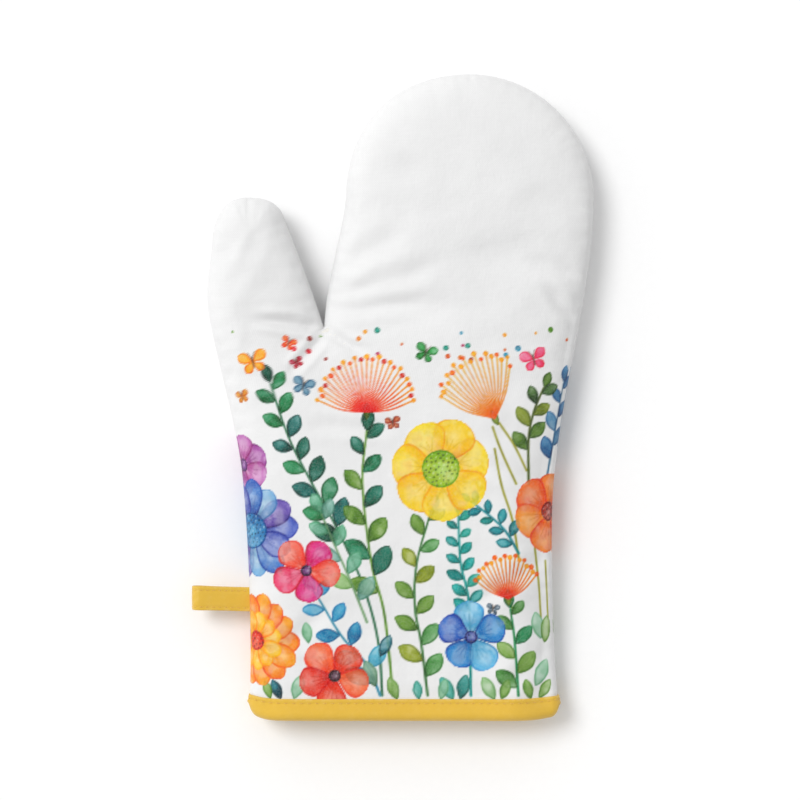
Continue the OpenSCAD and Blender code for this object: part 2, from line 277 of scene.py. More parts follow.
class Print:
    """Collects glazes of ink on a set of points."""

    def __init__(self, x, y, paper):
        self.x, self.y = x, y
        self.rgb = np.tile(paper, (len(x), 1))
        self.wobble = (noise2(x, y, 2.6) - 0.5) * 0.9 + (noise2(x, y, 1.1, 3) - 0.5) * 0.3
        self.pool = noise2(x, y, 6.0, 7) * 0.62 + noise2(x, y, 2.3, 9) * 0.38

    def near(self, c, reach):
        return np.nonzero((abs(self.x - c[0]) < reach) & (abs(self.y - c[1]) < reach))[0]

    def glaze(self, idx, dist, ink, ink2, mix, strength=1.0, rim=0.4, uneven=0.5, clear=0.2, loose=1.0,
              soft=0.28):
        """Lays ink where dist, the signed distance to the shape, is below 0: paler where the pigment drained,
        deeper where it pooled and along the drying edge, and tinted by what lies below."""
        d = dist + self.wobble[idx] * 0.3 * loose
        tint = ink + (ink2 - ink) * np.clip(mix, 0, 1)[:, None]
        pool = self.pool[idx]
        edge = np.exp(-((d + 0.3) / 0.42) ** 2)
        deep = 1 + 1.7 * rim * edge + uneven * smooth(0.5, 0.15, pool)
        tint = np.clip(tint, 0.003, 1) ** deep[:, None]
        pale = uneven * 0.62 * smooth(0.5, 0.85, pool) * (1 - edge)
        tint = tint + (1 - tint) * pale[:, None]
        under = self.rgb[idx]
        a = ((1 - smooth(-soft, soft, d)) * strength)[:, None]
        self.rgb[idx] = under * (1 - a) + (tint * (1 - clear) + tint * under * clear) * a

    def petal(self, base, tip, width, ink, ink2, full=1.0, blunt=0.7, **how):
        """A leaf or petal from base to tip. full above 1 puts its widest place nearer the tip,
        and a small blunt rounds it."""
        base, tip = np.array(base, float), np.array(tip, float)
        way = tip - base
        long = math.hypot(*way)
        idx = self.near((base + tip) / 2, long / 2 + width / 2 + 1)
        if len(idx):
            px, py = self.x[idx] - base[0], self.y[idx] - base[1]
            u = (px * way[0] + py * way[1]) / long / long
            v = (px * -way[1] + py * way[0]) / long
            half = width / 2 * np.sin(math.pi * np.clip(u, 0, 1) ** full) ** blunt
            ends = np.maximum(-u, u - 1) * long
            dist = np.where(ends > 0, np.hypot(ends, v) + 0.1, (abs(v) - half) * 0.85)
            self.glaze(idx, dist, ink, ink2, u, **how)

    def disc(self, c, r, ink, ink2, **how):
        """A blob of radius r whose ink runs from the middle to the rim."""
        idx = self.near(c, r + 1)
        if len(idx):
            rr = np.hypot(self.x[idx] - c[0], self.y[idx] - c[1])
            self.glaze(idx, rr - r, ink, ink2, rr / r, **how)

    def lift(self, c, r, strength):
        """A soft patch where the wet ink was lifted off."""
        idx = self.near(c, r * 2)
        rr = np.hypot(self.x[idx] - c[0], self.y[idx] - c[1]) / r
        a = strength * (1 - smooth(0.1, 1.2, rr + 2.4 * (self.pool[idx] - 0.5)))[:, None]
        self.rgb[idx] = self.rgb[idx] * (1 - a) + paler(self.rgb[idx], 0.3) * a

    def line(self, points, wide, ink, ink2=None, thin=1.0, **how):
        """A brush line along points, thin times as wide at its far end."""
        pts = np.array(points, float)
        low, high = pts.min(0), pts.max(0)
        idx = self.near((high + low) / 2, (high - low).max() / 2 + wide + 1)
        if len(idx):
            p = np.stack([self.x[idx], self.y[idx]], 1)
            best, along = np.full(len(idx), 1e9), np.zeros(len(idx))
            for k, (a, b) in enumerate(zip(pts[:-1], pts[1:])):
                t = np.clip(((p - a) @ (b - a)) / ((b - a) @ (b - a)), 0, 1)
                gap = np.hypot(*(p - a - t[:, None] * (b - a)).T)
                closer = gap < best
                best[closer], along[closer] = gap[closer], ((k + t) / (len(pts) - 1))[closer]
            how = {"loose": 0.2, "rim": 0.1, "uneven": 0.3, "soft": 0.4, **how}
            half = wide / 2 * (1 + (thin - 1) * along)
            self.glaze(idx, best - half, ink, ink if ink2 is None else ink2, along, **how)


def bend(points, steps=7):
    """A smooth run of points through the given ones."""
    p = [np.array(q, float) for q in points]
    p = [2 * p[0] - p[1]] + p + [2 * p[-1] - p[-2]]
    out = []
    for a, b, c, d in zip(p, p[1:], p[2:], p[3:]):
        for t in np.arange(steps) / steps:
            out.append(0.5 * (2 * b + (c - a) * t + (2 * a - 5 * b + 4 * c - d) * t * t
                              + (3 * b - a - 3 * c + d) * t ** 3))
    return np.array(out + [p[-2]])


def branch(art, stem, pitch, leaf, bare, lean, inks, stem_ink, rng):
    """A stem, given from its tip to its foot, with leaves on alternate sides, one on its tip and none
    on the bare length at its foot."""
    run = bend(stem)
    art.line(run, 0.9, colour(stem_ink), thin=1.4)
    s = lengths(run)
    count = int((s[-1] - bare - 3) / pitch) + 1
    for k in range(-1, count):
        at = 0.0 if k < 0 else 3 + k * pitch
        root = at_length(run, s, at)
        up = root - at_length(run, s, at + 1.5)
        up /= math.hypot(*up)
        turn = 0.0 if k < 0 else math.radians(lean + rng.uniform(-6, 6)) * (1 if k % 2 else -1)
        way = up * math.cos(turn) + across(up) * math.sin(turn)
        long = leaf * (0.8 + 0.35 * k / count + rng.uniform(-0.08, 0.08))
        ink = inks[rng.integers(len(inks))]
        foot = root + way * 0.4
        art.petal(foot, foot + way * long, long * 0.58, ink * 0.88, paler(ink, 0.86), full=1.12)
        art.line([foot, foot + way * long * 0.75], 0.3, paler(ink, 0.5), strength=0.4)


def fan(art, base, reach, lean, spread, count, inks, dots, rng):
    """A head of fine stalks that spread from one point, with a dot of pollen on each."""
    base = np.array(base, float)
    art.petal(base - polar(lean, 3.4), base + polar(lean, 4.4), 3.4, colour("8a9a34"), colour("6f8a34"))
    for k in range(count):
        t = 2 * k / (count - 1) - 1
        way = polar(lean - t * spread)
        far = reach * (1 - 0.12 * t * t) * (0.97 + 0.05 * rng.random() - 0.06 * (k % 2))
        bow = across(way) * far * 0.07 * t
        run = bend([base + way * 0.4, base + way * far * 0.5 - bow, base + way * far], 4)
        art.line(run, 0.75, inks[0], inks[1], uneven=0.5, clear=0.35, soft=0.3)
        dot = dots[k % len(dots)]
        art.disc(run[-1], 0.95 + 0.3 * rng.random(), dot, dot, uneven=0.35)


def butterfly(art, c, span, ink, turn):
    """Two pairs of wings on a short body."""
    ink2, body = paler(ink, 0.6), colour("5a4636")
    up = polar(90 + turn)
    for side in (-1, 1):
        out = across(up) * side
        art.petal(c, c + span * (0.5 * out + 0.34 * up), span * 0.42, ink, ink2, full=1.5, rim=0.7)
        art.petal(c, c + span * (0.34 * out - 0.34 * up), span * 0.34, ink2, ink, full=1.5, rim=0.7)
        art.line([c + span * 0.14 * up, c + span * (0.12 * out + 0.36 * up)], 0.28, body, strength=0.7)
    art.line([c + span * 0.16 * up, c - span * 0.2 * up], max(0.45, span * 0.06), body, thin=0.5)


def bloom(art, c, count, reach, wide, inks, heart, heart_r, turn, rng):
    """A flower of count petals round a heart. Its petals take the inks in turn."""
    c = np.array(c, float)
    for k in range(count):
        way = polar(turn + 360 * (k + rng.uniform(-0.08, 0.08)) / count)
        long = reach * rng.uniform(0.93, 1.05)
        ink = inks[k % len(inks)]
        art.petal(c + way * heart_r * 0.3, c + way * long, wide, ink * (0.98, 0.88, 0.86), paler(ink, 0.9),
                  full=1.6, blunt=0.55, rim=0.5, uneven=0.65)
        art.lift(c + way * long * 0.66, wide * 0.34, 0.6)
        for fold in (-1, 0, 1):
            end = c + way * long * 0.62 + across(way) * fold * wide * 0.17
            art.line([c + way * heart_r, end], 0.36, ink * 0.82, strength=0.45)
    art.disc(c, heart_r, paler(heart, 0.7), heart, rim=0.6)
    dots = int(heart_r * heart_r * 0.7)
    for k in range(dots):
        at = c + polar(math.degrees(k * GOLDEN_ANGLE), heart_r * 0.92 * math.sqrt((k + 0.5) / dots))
        ink = (heart * 0.45, paler(heart, 0.3))[k % 3 == 0]
        art.disc(at, 0.42, ink, ink, rim=0, uneven=0.1, strength=0.85)


# each row: points from tip to foot, leaf pitch, leaf length, bare foot, lean in degrees, leaf inks, stem ink
SPRAYS = (
    ([(81, 6), (77, -16), (73, -36)], 6.6, 10.0, 4, 34, "3f7fae 5f97bd", "4b7a94"),
    ([(70, 4), (65, -8), (63, -20), (63, -40)], 5.4, 10.4, 10, 46, "5f8430 8a9a34 4a6f34", "5a6a2c"),
    ([(-56, 6), (-48, -18), (-37, -40), (-25, -62), (-14, -86), (-7, -112), (-5, -138)], 5.8, 12.2, 74, 46,
     "0f5f4a 1f7a4a 12645c 2f8f5a", "3f7a5a"),
    ([(-12, -16), (-14, -40), (-10, -76), (-4, -100), (0, -138)], 8.0, 13.2, 42, 44,
     "2f8a62 1a6f58 6f9a3a", "6f9a3f"),
    ([(17, -54), (11, -76), (10, -96), (13, -114), (16, -138)], 7.4, 12.4, 4, 46,
     "5fa05a 6f9a3a 9aa832 3f8a5c", "4a7f48"),
    ([(30, -54), (31, -76), (35, -96), (36, -138)], 3.9, 8.2, 36, 50, "0f9a94 36b3a4 12a8a0", "0f9a94"),
    ([(36, -48), (45, -55), (52, -62), (58, -72)], 3.6, 7.6, 3, 52, "0f8f98 36b3a4 0f9a94", "0f8f98"),
    ([(54, -98), (56, -112), (58, -138)], 6.8, 11.6, 3, 46, "7faa4a 2f8f5a 5f9a52", "2f8f5a"),
    ([(-36, -90), (-24, -110), (-12, -124), (-6, -138)], 6.8, 12.4, 6, 55, "3fa6d0 6cc4dc 2f93bc", "3f97b0"),
    ([(-33, -54), (-26, -70), (-19, -86), (-12, -104)], 6.8, 12.6, 8, 46, "7fc0a0 a6cf8a 8fbfb0", "8fb08a"),
)
# each row: points of a bare stem, ink
STALKS = (
    ([(46, -14), (51, -27), (57, -40)], "a8a63a"), ([(49, -12), (56, -22), (62, -34)], "a8a63a"),
    ([(47, -24), (50, -40), (55, -56), (58, -74)], "a8a63a"), ([(66, -70), (68, -86), (69, -102)], "a8a63a"),
    ([(72, -76), (73, -92), (74, -108)], "a8a63a"), ([(54, -92), (55, -100)], "6f9a3f"),
    ([(-12, -7), (-12, -16)], "6f9a3f"),
)
# each row: foot, lean to the left in degrees, length, ink
FOOT_LEAVES = (
    ((-52, -140), 24, 10, "1f6f7c"), ((-46, -140), -18, 12, "9fd0ae"), ((-39, -114), 8, 10, "9fd0ae"),
    ((-8, -134), 22, 13, "8fb49a"), ((2, -140), 20, 11, "86b05a"), ((28, -140), 30, 12, "4fb0a0"),
    ((31, -140), -14, 12, "2f8f86"), ((22, -140), -14, 10, "9fd0ae"), ((47, -140), 28, 12, "98c48a"),
    ((50, -140), -20, 10, "86b05a"), ((66, -134), -28, 14, "9fd0ae"), ((68, -140), -36, 11, "86b05a"),
    ((64, -140), 16, 10, "86b05a"), ((69, -112), 14, 13, "9fd0ae"), ((71, -114), -8, 13, "86b05a"),
    ((-57, -140), 20, 9, "86b05a"), ((-6, -120), -26, 11, "1f6f7c"), ((12, -140), 8, 9, "4fb0a0"),
)
# each row: heart, petals, reach, petal width, petal inks, heart ink, heart radius, turn in degrees
BLOOMS = (
    ((-72, -32), 6, 15, 13, "a04aa0 c070b8", "7c3f90", 3.0, 30),
    ((-67, -62), 13, 23, 12, "5a6fc4 6a55ae 7fb4dc 4a7fc8", "2f86b8", 8.5, 5),
    ((-65, -113), 14, 22, 11, "ee8a1c f0a024", "f5b83a", 6.0, 0),
    ((-65, -113), 11, 14, 8, "fbd53a f9c22c", "d83a24", 4.6, 12),
    ((22, -33), 7, 24, 20, "f6d51c f4cc18 f6da2a", "9cc63a", 8.6, 17),
    ((74, -53), 6, 19, 17, "f08a1e ec7a22 e8641e", "9a2a1c", 4.4, 22),
    ((-40, -80), 5, 16, 13, "d8207a f0604a e03a68", "4a1258", 2.6, 60),
    ((-27, -129), 5, 17, 14, "e2401f f0683a dc2f1c", "4a2a3c", 2.8, 52),
    ((36, -111), 5, 16.5, 14, "1f7fc8 5fb8e4 2a62c0", "1a2a86", 3.0, 18),
)
# each row: foot, reach, lean in degrees, half spread, stalks, stalk inks, pollen inks
FANS = (
    ((-12, -7), 26, 90, 76, 25, "e8404a f2b030", "f5bd1c ef8a22 f5bd1c d8432a"),
    ((47, -10), 31, 116, 42, 18, "ea7a2a ecc03a", "f5bd1c f5bd1c ef8a22"),
    ((53, -93), 20, 94, 56, 17, "e04a2c eeb03a", "ef8a22 f5bd1c"),
)
# each row: place, wing span, ink, turn in degrees
BUTTERFLIES = (
    ((-64, 16), 13, "f2a81c", 14), ((-48, 25), 7, "ee6a1e", -23), ((-44, 16), 6, "c9264a", 29),
    ((-41, 5), 10, "5f8fa8", -17), ((-70, 0), 7, "dd9a2a", 17), ((15, 20), 10, "2f9a48", -20),
    ((65, 17), 12, "ee5a86", 17), ((0, -12), 7, "b8501e", 11), ((46, -98), 6, "6f8290", -11),
)
SPOT_INKS = "f3b81f b5432c c92f7c e4833a 2aa390 e04a5a e89a2a 7fae3a 4fb0c8"
SPOT_X, SPOT_Y, SPOT_R = (-76, 82), (17, 31), (0.5, 1.4)
PAPER = colour("f2f2f2")


def floral_print(x, y):
    """Colours of the printed cloth at points x, y in millimetres, in display values."""
    art = Print(x, y, PAPER)
    rng = np.random.default_rng(5)
    for ink in colours(SPOT_INKS) * 3:
        art.disc((rng.uniform(*SPOT_X), rng.uniform(*SPOT_Y)), rng.uniform(*SPOT_R), ink, ink)
    for points, ink in STALKS:
        art.line(bend(points), 1.0, colour(ink))
    for stem, pitch, leaf, bare, lean, inks, stem_ink in SPRAYS:
        branch(art, stem, pitch, leaf, bare, lean, colours(inks), stem_ink, rng)
    for foot, lean, long, ink in FOOT_LEAVES:
        ink = colour(ink)
        tip = foot + polar(90 + lean, long)
        art.petal(foot, tip, long * 0.5, ink * 0.9, paler(ink, 0.8), full=1.1, uneven=0.7)
    for foot, reach, lean, spread, count, inks, dots in FANS:
        fan(art, foot, reach, lean, spread, count, colours(inks), colours(dots), rng)
    for c, count, reach, wide, inks, heart, heart_r, turn in BLOOMS:
        bloom(art, c, count, reach, wide, colours(inks), colour(heart), heart_r, turn, rng)
    for c, span, ink, turn in BUTTERFLIES:
        butterfly(art, np.array(c, float), span, colour(ink), turn)
    rgb = np.clip(art.rgb, 0, 1)
    grey = rgb.mean(1, keepdims=True)
    return np.clip(grey + (rgb - grey) * VIVID, 0, 1)


# ---- Cloth simulation: the covers relax under a little pressure, held along their seams ----
SIM_PITCH, SIM_FRAMES, SIM_CAP = 4.0, 24, 3.4
FINE_BLUR, SWELL_BLUR, KEEP_SWELL = 1.9, 26.0, 0.25
FIELD_X, FIELD_Y, FIELD_STEP, FIELD_SIZE = -99.0, -6.0, 1.5, (208, 132)
CLOTH_SETTINGS = {
    "quality": 8, "mass": 0.15, "tension_stiffness": 18.0, "compression_stiffness": 18.0,
    "shear_stiffness": 9.0, "bending_stiffness": 7.0, "tension_damping": 8.0, "compression_damping": 8.0,
    "shear_damping": 8.0, "air_damping": 2.0, "vertex_group_mass": "held", "use_pressure": True,
    "uniform_pressure_force": 4.0, "shrink_min": -0.013, "shrink_max": -0.013,
}


def plain_crown(x, y):
    """Height of the sewn bag above its middle plane, before any folds."""
    s = np.clip(seam_distance(x, y) / EDGE_W, 0, 1)
    return half_at(y) * (1 - (1 - s) ** EDGE_POWER) ** (1 / EDGE_POWER)


def spans_at(y):
    """The stretches of a row that lie inside the outline."""
    if y <= CROTCH[1]:
        return [(x_on(LEFT, y), x_on(RIGHT, y))]
    spans = [(x_on(HAND_LEFT, y), x_on(RIGHT, y))]
    if y <= THUMB_TOP[1]:
        spans.append((x_on(LEFT, y), x_on(THUMB_RIGHT, y)))
    return spans


def sheet_plan():
    """An even triangle mesh of one panel, as points and triangles."""
    loop = np.vstack([LEFT, THUMB_RIGHT[::-1][1:], HAND_LEFT[1:], RIGHT[::-1][1:], LEFT[:1]])
    s = lengths(loop)
    count = int(s[-1] / SIM_PITCH)
    edge = at_length(loop, s, np.arange(count) * s[-1] / count)
    ahead = np.roll(edge, -1, axis=0) - np.roll(edge, 1, axis=0)
    inward = np.stack([ahead[:, 1], -ahead[:, 0]], 1) / np.hypot(*ahead.T)[:, None]
    points = [edge]
    for inset in (1.7, 4.4):
        ring = edge + inward * inset
        points.append(ring[(seam_distance(*ring.T) > inset * 0.8) & (ring[:, 1] > 3.0)])
    lattice = []
    for k, y in enumerate(np.arange(4.0, LENGTH, SIM_PITCH * 0.866)):
        row = np.arange(FIELD_X + (k % 2) * SIM_PITCH / 2, -FIELD_X, SIM_PITCH)
        lattice += [(x, y) for x in row if any(a < x < b for a, b in spans_at(y))]
    lattice = np.array(lattice)
    points.append(lattice[seam_distance(*lattice.T) > 6.6])
    border = [(i, (i + 1) % count) for i in range(count)]
    out = delaunay_2d_cdt([Vector(p) for p in np.vstack(points).tolist()], border, [], 1, 1e-4)
    return np.array([tuple(v) for v in out[0]]), [tuple(f) for f in out[2]]


def relax_bag(flat, faces):
    """How far each point of the front and the back panel moves, in millimetres."""
    high = np.maximum(plain_crown(*flat.T), SEAM_HALF)
    n = len(flat)
    rest = np.vstack([np.column_stack([flat, high]), np.column_stack([flat, -high])])
    mesh = bpy.data.meshes.new("relaxing_bag")
    mesh.from_pydata((rest * MM).tolist(), [], faces + [tuple(n + i for i in f[::-1]) for f in faces])
    bag = link("relaxing_bag", mesh)
    gap = seam_distance(rest[:, 0], rest[:, 1])
    hold = np.clip(2 - smooth(0.2, 1.0, gap) - smooth(12, 30, rest[:, 1]), 0, 1)
    held = bag.vertex_groups.new(name="held")
    for k in np.nonzero(hold > 0.01)[0].tolist():
        held.add([k], float(hold[k]), "REPLACE")
    relax = bag.modifiers.new("relax", "CLOTH")
    for key, value in CLOTH_SETTINGS.items():
        setattr(relax.settings, key, value)
    relax.settings.effector_weights.gravity = 0.0
    relax.point_cache.frame_start, relax.point_cache.frame_end = 1, SIM_FRAMES
    for f in range(1, SIM_FRAMES + 1):
        scene.frame_set(f)
    settled = bag.evaluated_get(bpy.context.evaluated_depsgraph_get()).data
    co = np.empty(len(rest) * 3, np.float32)
    settled.vertices.foreach_get("co", co)
    moved = co.reshape(-1, 3) / MM - rest
    scene.frame_set(1)
    bpy.data.objects.remove(bag)
    bpy.data.meshes.remove(mesh)
    return moved[:n], moved[n:]


def blurred(field, weight, sigma):
    """Gaussian blur of a field that is known only where weight is 1."""
    reach = int(3 * sigma / FIELD_STEP)
    kernel = np.exp(-0.5 * (np.arange(-reach, reach + 1) * FIELD_STEP / sigma) ** 2)
    total, share = field * weight[..., None], weight.copy()
    for axis in (0, 1):
        total = np.apply_along_axis(np.convolve, axis, total, kernel, "same")
        share = np.apply_along_axis(np.convolve, axis, share, kernel, "same")
    return total / np.maximum(share, 1e-9)[..., None]


def relaxed_fields():
    """The simulated movement of both panels on a square grid, with most of the even swelling taken out."""
    flat, faces = sheet_plan()
    tree = BVHTree.FromPolygons([(x, y, 0) for x, y in flat.tolist()], faces)
    corner = np.array(faces)
    where, weight = np.zeros(FIELD_SIZE, int), np.zeros(FIELD_SIZE)
    share = np.zeros((*FIELD_SIZE, 3))
    for j, i in np.ndindex(FIELD_SIZE):
        p = (FIELD_X + i * FIELD_STEP, FIELD_Y + j * FIELD_STEP)
        _, _, face, gap = tree.find_nearest((*p, 0.0), 3.0)
        if face is not None and gap <= 0.01:
            a, b, c = flat[corner[face]]
            u, v = np.linalg.solve(np.stack([b - a, c - a], 1), p - a)
            where[j, i], weight[j, i], share[j, i] = face, 1.0, (1 - u - v, u, v)
    fields = {}
    for side, moved in zip((1, -1), relax_bag(flat, faces)):
        field = (moved[corner[where]] * share[..., None]).sum(2)
        field = blurred(field, weight, FINE_BLUR)
        field[..., 2] -= (1 - KEEP_SWELL) * blurred(field, weight, SWELL_BLUR)[..., 2]
        fields[side] = field / (1 + np.linalg.norm(field, axis=2, keepdims=True) / SIM_CAP)
    return fields


FIELDS = relaxed_fields()


def cubic(t):
    """Weights of four neighbours for a smooth curve through grid values."""
    weights = [((2 - t) * t - 1) * t, (3 * t - 5) * t * t + 2, ((4 - 3 * t) * t + 1) * t, (t - 1) * t * t]
    return np.stack(weights) / 2


def relaxed(x, y, side, d):
    """The cloth's movement at points of one panel, which fades out at the seams."""
    u, v = (x - FIELD_X) / FIELD_STEP, (y - FIELD_Y) / FIELD_STEP
    i, j = np.floor(u).astype(int), np.floor(v).astype(int)
    wi, wj = cubic(u - i), cubic(v - j)
    total = np.zeros((len(x), 3))
    for b, a in np.ndindex(4, 4):
        row, column = np.clip(j + b - 1, 0, FIELD_SIZE[0] - 1), np.clip(i + a - 1, 0, FIELD_SIZE[1] - 1)
        total += FIELDS[side][row, column] * (wi[a] * wj[b])[:, None]
    calm = smooth(0.3, 4.0, d) * smooth(11, 28, y) * (0.45 + 0.55 * smooth(70, 170, y))
    return total * calm[:, None]


# ---- Folds and dents of the padded cloth ----
# each row: from, to, depth, width, and how softly it ends
FRONT_FOLDS = (
    ((-36.5, 182), (-66, 185.5), 2.0, 2.3, 7), ((-37, 181), (-20, 172), 1.7, 2.0, 5),
    ((-39, 177), (-50, 163), 1.4, 2.0, 5), ((-28, 212), (-2, 226), 0.95, 4.2, 9),
    ((-30, 197), (12, 210), 1.15, 4.0, 10), ((-33, 190), (4, 193), 1.1, 3.0, 8),
    ((66, 199), (79, 186), 1.5, 2.8, 6), ((60, 214), (80, 205), 0.9, 3.4, 6),
    ((-40, 137), (-8, 136), 0.8, 3.0, 8), ((-70, 160), (-52, 152), 0.8, 3.2, 7),
    ((30, 120), (62, 112), 0.7, 3.6, 9), ((28, 52), (64, 74), 0.9, 3.8, 9),
    ((71, -6), (67, 120), 2.2, 11, 30), ((-60, 30), (-36, 52), 0.7, 3.8, 9),
    ((46, 14), (66, 34), 0.8, 3.6, 7),
)
BACK_FOLDS = (
    ((-37, 182), (-62, 180), 1.2, 2.8, 7), ((-36, 181), (-18, 190), 0.9, 3.0, 6),
    ((-20, 150), (20, 158), 0.6, 4.5, 10),
)
GATHER_PITCH, GATHER_DEPTH = 7.4, 0.42
CORNER_R = 4.2
FLOOR_SOFT = 0.25


def crease(x, y, a, b, deep, wide, end):
    """A soft fold from a to b, deep millimetres at its middle, with a low swell on both sides."""
    a, b = np.array(a, float), np.array(b, float)
    d = b - a
    long = math.hypot(*d)
    u = ((x - a[0]) * d[0] + (y - a[1]) * d[1]) / long
    v = ((x - a[0]) * -d[1] + (y - a[1]) * d[0]) / long
    v = v + 1.6 * (noise2(x, y, 14) - 0.5)
    fade = smooth(-end, end, u) * (1 - smooth(long - end, long + end, u))
    s = v / wide
    return deep * fade * (-np.exp(-s * s) + 0.42 * np.exp(-((abs(s) - 2.0) / 0.9) ** 2))


def swell_at_cuff(y, side):
    """The row of stitches through the binding draws the cloth in, and the front swells above it."""
    way = np.where(y < HEM_Y, (y - HEM_Y) / 3.5, (y - HEM_Y) / 9)
    return 0.7 * (side > 0) * np.exp(-((y - 32) / 14) ** 2) - 1.7 * np.exp(-way ** 2)


def crown(x, y, side):
    """Height of the cover's outside above the middle plane, and how far the cloth moves in the plane."""
    d, place, _ = nearest_seam(x, y)
    h = plain_crown(x, y)
    # gathers along the seams, and two sizes of unevenness in the padding
    near = np.exp(-d / 4.5) * smooth(0.0, 2.0, d) * smooth(14, 30, y)
    gather = 0.3 + 0.7 * noise2(place, place * 0, 23, side)
    turn = place * (2 * math.pi / GATHER_PITCH) + 5.0 * noise2(place, place * 0, 13, 5 + side)
    h += near * gather * GATHER_DEPTH * np.sin(turn)
    h += 0.5 * smooth(4, 22, d) * smooth(10, 34, y) * (noise2(x, y, 26, 2 + side) - 0.5)
    h += 0.3 * smooth(4, 16, d) * smooth(10, 34, y) * (noise2(x, y, 9, 8 + side) - 0.5)
    h += swell_at_cuff(y, side) * smooth(1, 10, d)
    folds = FRONT_FOLDS if side > 0 else BACK_FOLDS
    h += sum(crease(x, y, *fold) for fold in folds) * smooth(0.5, 7, d)
    moved = relaxed(x, y, side, d)
    return h + side * moved[:, 2], moved[:, :2]


def cuff_rise(x, y):
    """The cuff's edge is pulled up a little at both side seams, and its corners are round."""
    pull = 2.3 * np.exp(-((x + CUFF_END + 1) / 7) ** 2) + 1.5 * np.exp(-((x - CUFF_END - 1) / 9) ** 2)
    t = np.clip(CORNER_R - CUFF_END + abs(x), 0, CORNER_R)
    corner = CORNER_R - np.sqrt(CORNER_R ** 2 - t ** 2)
    return pull * (1 - smooth(2, 26, y)) + corner * (1 - smooth(0, 9, y))


def pressed(z):
    """Heights above the floor. What would sink into it is pressed flat."""
    soft = FLOOR_SOFT
    z = np.where(z < soft, soft * np.exp((np.minimum(z, soft) - soft) / soft), z) - 0.02
    return np.maximum(z, 0.0)


def place_points(x, y, z):
    """From the layout to the frame, in metres."""
    return np.stack([x + SHIFT_X, y + SHIFT_Y + cuff_rise(x, y), z], -1) * MM


def skin(x, y, side, depth, least):
    """Points of the layer boundary at a depth below the cover's outside, at least the height least from the
    middle plane. Where the floor presses the cover flat, the layers above it rise with it."""
    top, shift = crown(x, y, side)
    h = np.maximum(top - depth, least)
    shift = shift * (h / np.maximum(top, 1.0))[:, None]
    outside = middle_at(y) + side * np.maximum(top, SEAM_HALF)
    z = middle_at(y) + side * h + (pressed(outside) - outside)
    return place_points(x + shift[:, 0], y + shift[:, 1], z)


# ---- Rows of points for the three parts of the mitt ----
def palm_edges(y):
    left = x_on(LEFT, y) if y <= THUMB_CUT else fold_x(y) if y <= CROTCH[1] else x_on(HAND_LEFT, y)
    return left, x_on(RIGHT, y)


def finger_edges(y):
    return x_on(HAND_LEFT, y), x_on(RIGHT, y)


def thumb_edges(y):
    return x_on(LEFT, y), fold_x(y) if y <= CROTCH[1] else x_on(THUMB_RIGHT, y)


def rows_to_tip(start, turn, tip, count, share):
    """Even rows up to turn, and then rows that crowd towards the tip."""
    straight = int(count * share)
    rise = np.sin(np.linspace(0, math.pi / 2, count - straight + 1))
    return np.concatenate([np.linspace(start, turn, straight + 1)[:-1], turn + (tip - 0.01 - turn) * rise])


def plan(part, rows, columns):
    """x and y of a grid of points over a part. Columns crowd a little towards the edges."""
    if part == "palm":
        ys, edges, crowd = np.linspace(1.6, FINGER_CUT, rows + 1), palm_edges, 0.25
    elif part == "finger":
        ys, edges, crowd = rows_to_tip(FINGER_CUT, HAND_C[1] - 12, LENGTH, rows, 0.36), finger_edges, 0.6
    else:
        ys, edges, crowd = rows_to_tip(THUMB_CUT + 0.15, 214, THUMB_TOP[1], rows, 0.66), thumb_edges, 0.5
    t = np.linspace(0, 1, columns + 1)
    s = (1 - crowd) * t + crowd * (1 - np.cos(math.pi * t)) / 2
    ends = np.array([edges(y) for y in ys])
    x = ends[:, :1] + (ends[:, 1:] - ends[:, :1]) * s
    return x, np.repeat(ys[:, None], columns + 1, 1)


def drawn_in(x, y, inset):
    """A grid with its points near the side seams moved inwards, by inset at the seam itself."""
    inner_x = x + 0.01 * (x[:, x.shape[1] // 2, None] - x)
    inner_y = y + 0.03 * (np.minimum(y, y.max() - 30) - y)
    way = nearest_seam(inner_x.ravel(), inner_y.ravel())[2].reshape(*x.shape, 2)
    gap = seam_distance(x.ravel(), y.ravel()).reshape(x.shape)
    moved = inset * np.clip(1 - gap / (3 * inset), 0, 1) ** 2
    return x - way[..., 0] * moved, y - way[..., 1] * moved


# ---- Closed meshes ----
CLOTH_SHADE = 0.88


def quads(grid):
    """The faces between the points of a grid of point numbers."""
    return np.stack([grid[:-1, :-1], grid[:-1, 1:], grid[1:, 1:], grid[1:, :-1]], -1).reshape(-1, 4)


def borders(grid):
    """The four sides of a grid, each running on from the one before."""
    return [side.tolist() for side in (grid[0], grid[:, -1], grid[-1, ::-1], grid[::-1, 0])]


def add_layer(obj, name, kind, field, values):
    """Stores a value for each point of a mesh, which its material reads."""
    layer = obj.data.attributes.new(name, kind, "POINT")
    layer.data.foreach_set(field, values.ravel().astype(np.float32))


def new_piece(name, points, faces, u, v, sharp=55):
    """A smooth mesh. u and v say where its points lie along and across the threads, in millimetres."""
    mesh = bpy.data.meshes.new(name)
    mesh.from_pydata(points.tolist(), [], faces)
    mesh.validate()
    mesh.shade_smooth()
    mesh.set_sharp_from_angle(angle=math.radians(sharp))
    obj = link(name, mesh)
    add_layer(obj, "thread", "FLOAT_VECTOR", "vector", np.stack([u, v, u * 0], 1))
    return obj


def attach_print(obj, x, y):
    """Prints a piece whose points come from the places x and y of the layout."""
    rgb = CLOTH_SHADE * linear(floral_print(*print_place(x, y)))
    add_layer(obj, "print", "FLOAT_COLOR", "color", np.column_stack([rgb, np.ones(len(rgb))]))


